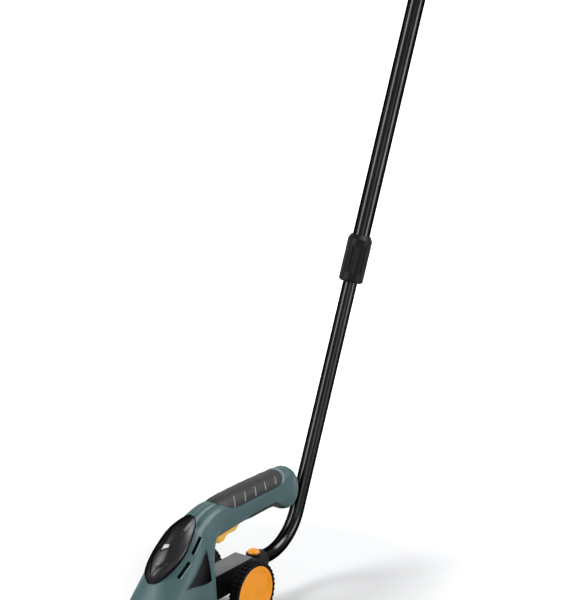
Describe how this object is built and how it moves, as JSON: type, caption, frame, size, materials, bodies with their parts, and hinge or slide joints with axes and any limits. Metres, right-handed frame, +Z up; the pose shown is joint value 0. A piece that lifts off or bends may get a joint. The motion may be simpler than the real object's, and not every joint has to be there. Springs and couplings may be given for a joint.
{
  "type": "cordless grass shears",
  "caption": "Cordless grass shears with toothed blades and a soft-grip handle, docked on a wheeled trolley with a bent telescopic pole.",
  "frame": {"origin": "middle of the whole part's box, on the floor that the wheels and the skid stand on", "axes": "+Z up, -Y forward to the blades, +X to the tool's left"},
  "size_m": [0.0824, 0.7002, 0.844],
  "materials": {
    "teal_plastic": "satin",
    "gloss_black": "gloss",
    "lamp_white": "gloss",
    "soft_grip": "matte",
    "black_plastic": "satin",
    "orange_plastic": "satin",
    "tyre_black": "matte",
    "steel": "satin",
    "brass": "satin",
    "black_tube": "satin",
    "cell_wrap": "satin",
    "board_green": "satin"
  },
  "bodies": {
    "trolley": {"trolley_body": "black_plastic", "trolley_cover": "black_plastic", "trolley_screws": "steel", "axle": "steel", "axle_caps": "steel", "lower_tube": "black_tube", "guide_plug": "black_plastic", "release_spring": "steel"},
    "release_button": {"release_button": "orange_plastic"},
    "left_wheel": {"left_tyre": "tyre_black", "left_rim": "black_plastic", "left_hubcap": "orange_plastic"},
    "right_wheel": {"right_tyre": "tyre_black", "right_rim": "black_plastic", "right_hubcap": "orange_plastic"},
    "tool": {"left_housing": "teal_plastic", "right_housing": "teal_plastic", "front_pad": "gloss_black", "charge_lamp": "lamp_white", "upper_grip": "soft_grip", "lower_grip": "soft_grip", "left_badge": "gloss_black", "right_badge": "gloss_black", "housing_screws": "steel", "chassis_plate": "steel", "gear_cover": "black_plastic", "gear_posts": "steel", "motor_can": "steel", "fixed_blade": "steel", "blade_bolt": "steel", "blade_spacers": "steel", "blade_screws": "steel", "skid_shoe": "black_plastic", "battery_cells": "cell_wrap", "battery_tray": "black_plastic", "circuit_board": "board_green", "power_switch": "black_plastic", "charge_socket": "black_plastic", "dock_sleeve": "black_plastic", "trigger_pin": "steel", "trigger_spring": "steel"},
    "trigger": {"trigger": "orange_plastic"},
    "lock_button": {"lock_button": "orange_plastic"},
    "gear": {"drive_gear": "steel", "crank_shaft": "steel"},
    "rotor": {"motor_armature": "steel", "motor_pinion": "brass"},
    "blade": {"moving_blade": "steel"},
    "upper_pole": {"upper_tube": "black_tube", "clamp_bush": "black_plastic", "grip_left": "black_plastic", "grip_right": "black_plastic", "grip_sleeve": "soft_grip", "grip_switch": "black_plastic", "pole_pin": "steel"},
    "collar": {"lock_collar": "black_plastic"},
    "pole_trigger": {"pole_trigger": "orange_plastic"},
    "pole_lock": {"pole_lock": "orange_plastic"}
  },
  "joints": [
    {"name": "left_wheel_spin", "type": "hinge", "parent": "trolley", "child": "left_wheel", "pos_m": [0, -0.11412, 0.0355], "axis": [1, 0, 0], "continuous": true},
    {"name": "right_wheel_spin", "type": "hinge", "parent": "trolley", "child": "right_wheel", "pos_m": [0, -0.11412, 0.0355], "axis": [1, 0, 0], "continuous": true},
    {"name": "tool_dock", "type": "slide", "parent": "trolley", "child": "tool", "axis": [0, -1, 0], "range_m": [0, 0.045]},
    {"name": "release_press", "type": "slide", "parent": "trolley", "child": "release_button", "axis": [0, 0, -1], "range_m": [0, 0.002], "stiffness_N_per_m": 800, "springref_m": -0.002, "deforming": ["release_spring"]},
    {"name": "trigger_squeeze", "type": "hinge", "parent": "tool", "child": "trigger", "pos_m": [0, -0.09712, 0.1115], "axis": [-1, 0, 0], "range_deg": [0, 6], "stiffness_Nm_per_rad": 1.2, "springref_deg": -5.73, "deforming": ["trigger_spring"]},
    {"name": "lock_press", "type": "slide", "parent": "tool", "child": "lock_button", "axis": [1, 0, 0], "range_m": [0, 0.0025], "stiffness_N_per_m": 800, "springref_m": -0.0015},
    {"name": "gear_spin", "type": "hinge", "parent": "tool", "child": "gear", "pos_m": [0, -0.24612, 0.0235], "axis": [0, 0, 1], "continuous": true},
    {"name": "rotor_spin", "type": "hinge", "parent": "tool", "child": "rotor", "pos_m": [0, -0.21612, 0.05], "axis": [0, 0, 1], "continuous": true},
    {"name": "blade_swing", "type": "hinge", "parent": "tool", "child": "blade", "pos_m": [0, -0.27412, 0.0133], "axis": [0, 0, 1], "range_deg": [-5.7, 5.7]},
    {"name": "pole_slide", "type": "slide", "parent": "trolley", "child": "upper_pole", "axis": [0, 0.3891, 0.9212], "range_m": [-0.2, 0.12]},
    {"name": "collar_twist", "type": "hinge", "parent": "upper_pole", "child": "collar", "pos_m": [0, 0.1274, 0.33978], "axis": [0, 0.3891, 0.9212], "range_deg": [0, 90]},
    {"name": "pole_squeeze", "type": "hinge", "parent": "upper_pole", "child": "pole_trigger", "pos_m": [0, 0.31172, 0.75042], "axis": [-1, 0, 0], "range_deg": [0, 5], "stiffness_Nm_per_rad": 1.2, "springref_deg": -5.73},
    {"name": "pole_lock_press", "type": "slide", "parent": "upper_pole", "child": "pole_lock", "axis": [0, 0.9212, -0.3891], "range_m": [0, 0.002], "stiffness_N_per_m": 800, "springref_m": -0.0015}
  ],
  "couplings": [
    {"joint": "rotor_spin", "follows": "gear_spin", "ratio": -4}
  ]
}
